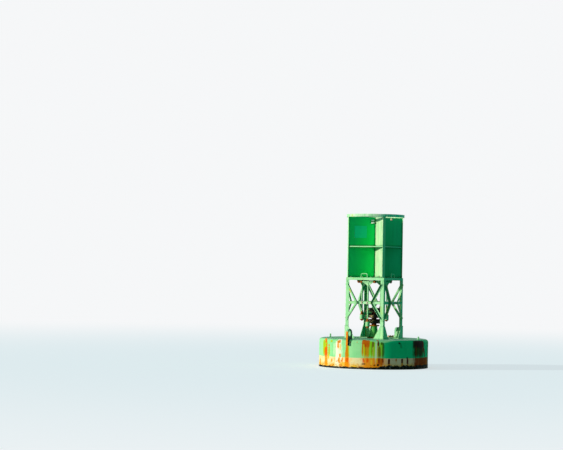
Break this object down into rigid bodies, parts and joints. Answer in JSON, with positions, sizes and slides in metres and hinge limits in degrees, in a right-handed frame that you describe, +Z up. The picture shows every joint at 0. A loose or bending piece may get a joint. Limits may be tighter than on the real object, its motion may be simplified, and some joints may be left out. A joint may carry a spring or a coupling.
{
  "type": "gong buoy",
  "caption": "Steel navigation buoy: round hull with tail tube and weights, angle-iron tower, stacked gongs with swinging tappers, and an open radar reflector under a hoop.",
  "frame": {"origin": "centre of the hull on the waterline", "axes": "+Z up the tower, -Y to the front face of the tower, +X to its right face"},
  "size_m": [2.7428, 2.871, 6.0959],
  "materials": {
    "hull_paint": "chalky",
    "green_paint": "chalky",
    "reflector_paint": "satin",
    "rusty_paint": "rusted",
    "rusty_steel": "rusted",
    "fouled_steel": "fouled",
    "cast_weight": "rough cast",
    "bronze": "weathered",
    "tapper_paint": "worn",
    "black_rubber": "matt",
    "teal_panel": "satin"
  },
  "bodies": {
    "buoy": {"hull": "hull_paint", "tail_tube": "fouled_steel", "counterweight": "cast_weight", "weight_retainer": "rusty_steel", "lifting_eye_front": "rusty_paint", "lifting_eye_back": "rusty_paint", "mooring_eye_left": "fouled_steel", "mooring_eye_right": "fouled_steel", "deck_cover": "rusty_steel", "deck_plugs": "green_paint", "leg_pads": "green_paint", "legs": "green_paint", "foot_gussets": "green_paint", "mid_bars": "green_paint", "knees_front": "green_paint", "knees_right": "green_paint", "knees_back": "green_paint", "knees_left": "green_paint", "tapper_stops": "black_rubber", "tower_frame": "green_paint", "reflector_floor": "reflector_paint", "corner_posts": "green_paint", "reflector_plate_long": "reflector_paint", "reflector_plate_front": "reflector_paint", "reflector_plate_back": "reflector_paint", "reflector_shelf": "reflector_paint", "reflector_panel": "teal_panel", "top_hoop": "green_paint", "handles": "green_paint", "bearing_lugs": "rusty_steel", "pivot_pins": "rusty_steel", "gong_pedestal": "green_paint", "gong_spindle": "rusty_steel", "gong_spacers": "rusty_steel", "gong_low": "bronze", "gong_middle": "bronze", "gong_high": "bronze"},
    "tapper_front": {"tapper_arm_front": "tapper_paint", "tapper_head_front": "tapper_paint"},
    "tapper_right": {"tapper_arm_right": "tapper_paint", "tapper_head_right": "tapper_paint"},
    "tapper_back": {"tapper_arm_back": "tapper_paint", "tapper_head_back": "tapper_paint"},
    "tapper_left": {"tapper_arm_left": "tapper_paint", "tapper_head_left": "tapper_paint"}
  },
  "joints": [
    {"name": "front_tapper_swing", "type": "hinge", "parent": "buoy", "child": "tapper_front", "pos_m": [0, -0.35, 2.145], "axis": [1, 0, 0], "range_deg": [-8.5, 2.4]},
    {"name": "right_tapper_swing", "type": "hinge", "parent": "buoy", "child": "tapper_right", "pos_m": [0.35, 0, 2.145], "axis": [0, 1, 0], "range_deg": [-8.5, 3.2]},
    {"name": "back_tapper_swing", "type": "hinge", "parent": "buoy", "child": "tapper_back", "pos_m": [0, 0.35, 2.145], "axis": [-1, 0, 0], "range_deg": [-8.5, 4.4]},
    {"name": "left_tapper_swing", "type": "hinge", "parent": "buoy", "child": "tapper_left", "pos_m": [-0.35, 0, 2.145], "axis": [0, -1, 0], "range_deg": [-8.5, 3.2]}
  ]
}
